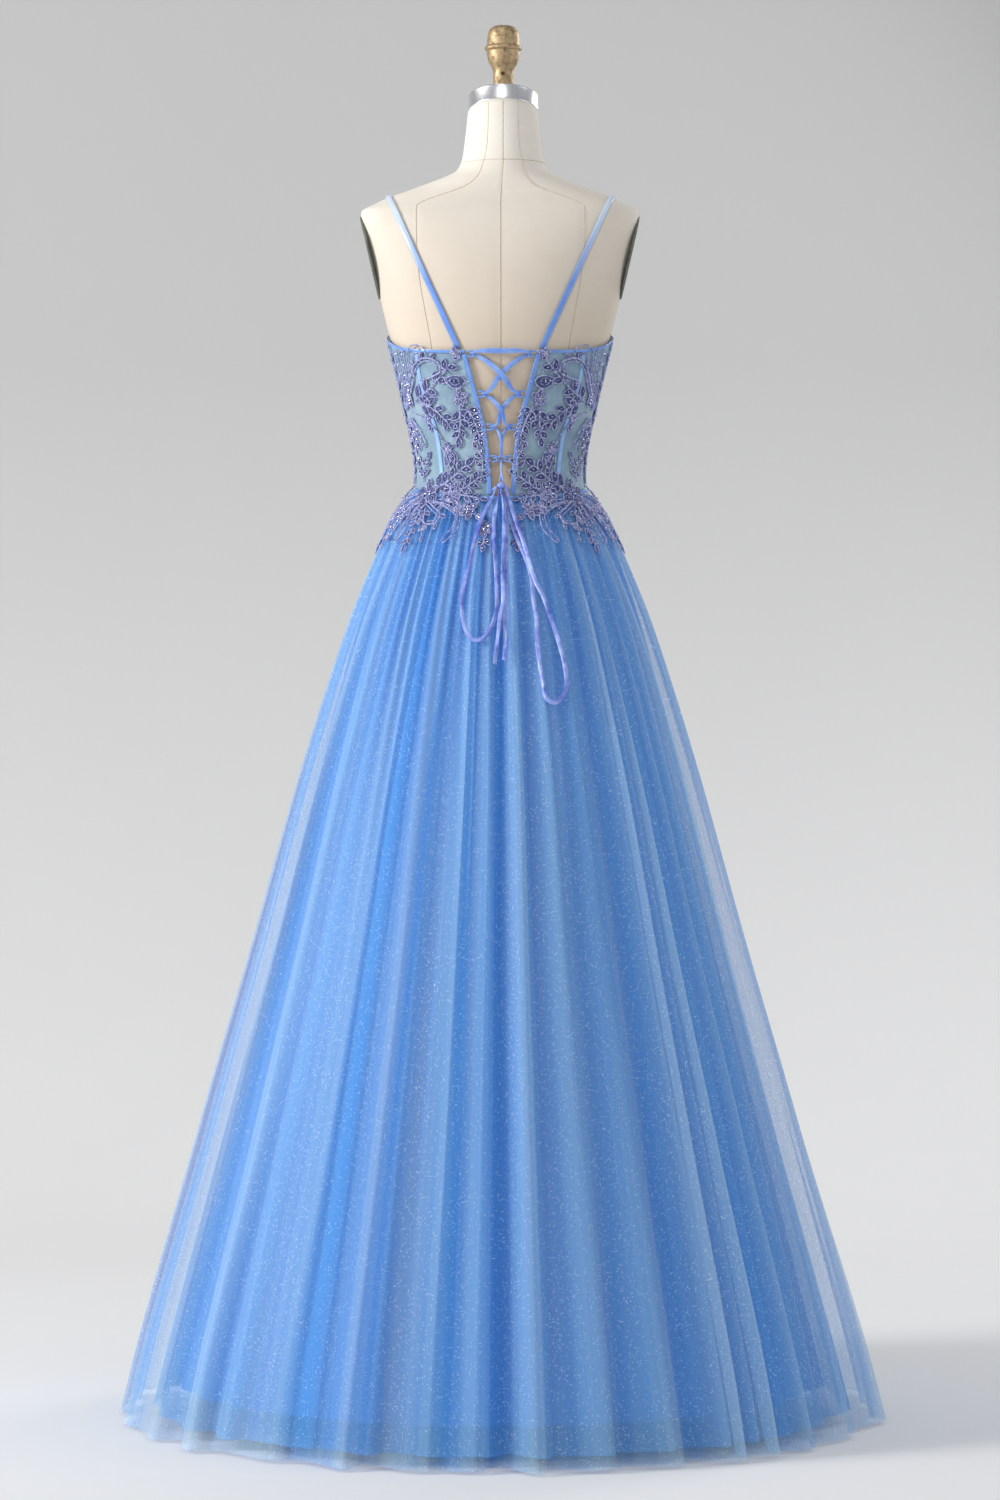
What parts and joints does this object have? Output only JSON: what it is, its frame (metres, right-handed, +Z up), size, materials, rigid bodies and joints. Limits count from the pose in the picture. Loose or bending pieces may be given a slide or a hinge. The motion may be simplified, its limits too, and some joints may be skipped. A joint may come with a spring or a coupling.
{
  "type": "prom dress on a dress form",
  "caption": "Floor-length tulle prom dress with a boned, applique-trimmed corset bodice laced at the back, hung on a limbless dress form with pole and round base",
  "frame": {"origin": "on the floor, at the centre of the base's foot and under the pole", "axes": "+Z up along the pole, the dress's front faces -Y and its laced back +Y, +X is the wearer's left"},
  "size_m": [0.9526, 0.9644, 1.7358],
  "materials": {
    "form_cover": "matte cream cover",
    "form_plate": "grey-green, satin",
    "form_alloy": "brushed",
    "form_knob": "antiqued, speckled",
    "form_base": "black, satin",
    "bodice_mesh": "grey-blue mesh with beaded floral applique",
    "satin": "cornflower satin",
    "ribbon": "cornflower satin ribbon",
    "applique": "lavender floral applique with beads",
    "tulle": "light blue glitter tulle",
    "underskirt": "plain light blue, opaque"
  },
  "bodies": {
    "root": {"form_torso": "form_cover", "form_arm_plate_left": "form_plate", "form_arm_plate_right": "form_plate", "form_neck_band": "form_alloy", "form_pole": "form_alloy", "form_knob": "form_knob", "form_base": "form_base", "bodice_back_left": "bodice_mesh", "bodice_back_right": "bodice_mesh", "bodice_side_back_left": "bodice_mesh", "bodice_side_back_right": "bodice_mesh", "bodice_side_front_left": "bodice_mesh", "bodice_side_front_right": "bodice_mesh", "bodice_centre_front": "bodice_mesh", "top_binding_left": "satin", "placket_left": "satin", "strap_left": "satin", "boning_casing_back_left": "satin", "boning_casing_side_left": "satin", "boning_casing_front_left": "satin", "top_binding_right": "satin", "placket_right": "satin", "strap_right": "satin", "boning_casing_back_right": "satin", "boning_casing_side_right": "satin", "boning_casing_front_right": "satin", "lacing_loop_left_1": "satin", "lacing_loop_left_2": "satin", "lacing_loop_left_3": "satin", "lacing_loop_left_4": "satin", "lacing_loop_left_5": "satin", "lacing_loop_right_1": "satin", "lacing_loop_right_2": "satin", "lacing_loop_right_3": "satin", "lacing_loop_right_4": "satin", "lacing_loop_right_5": "satin", "lacing_ribbon": "ribbon", "bow_knot": "ribbon", "bow_loop_left": "ribbon", "bow_loop_right": "ribbon", "bow_tail_long": "ribbon", "bow_tail_short": "ribbon", "hip_applique_back_left": "applique", "hip_applique_back_right": "applique", "hip_applique_front_left": "applique", "hip_applique_front_right": "applique", "skirt_gore_1": "tulle", "skirt_gore_2": "tulle", "skirt_gore_3": "tulle", "skirt_gore_4": "tulle", "skirt_gore_5": "tulle", "skirt_gore_6": "tulle", "skirt_gore_7": "tulle", "skirt_gore_8": "tulle", "underskirt_gore_1": "underskirt", "underskirt_gore_2": "underskirt", "underskirt_gore_3": "underskirt", "underskirt_gore_4": "underskirt", "underskirt_gore_5": "underskirt", "underskirt_gore_6": "underskirt"}
  },
  "joints": []
}
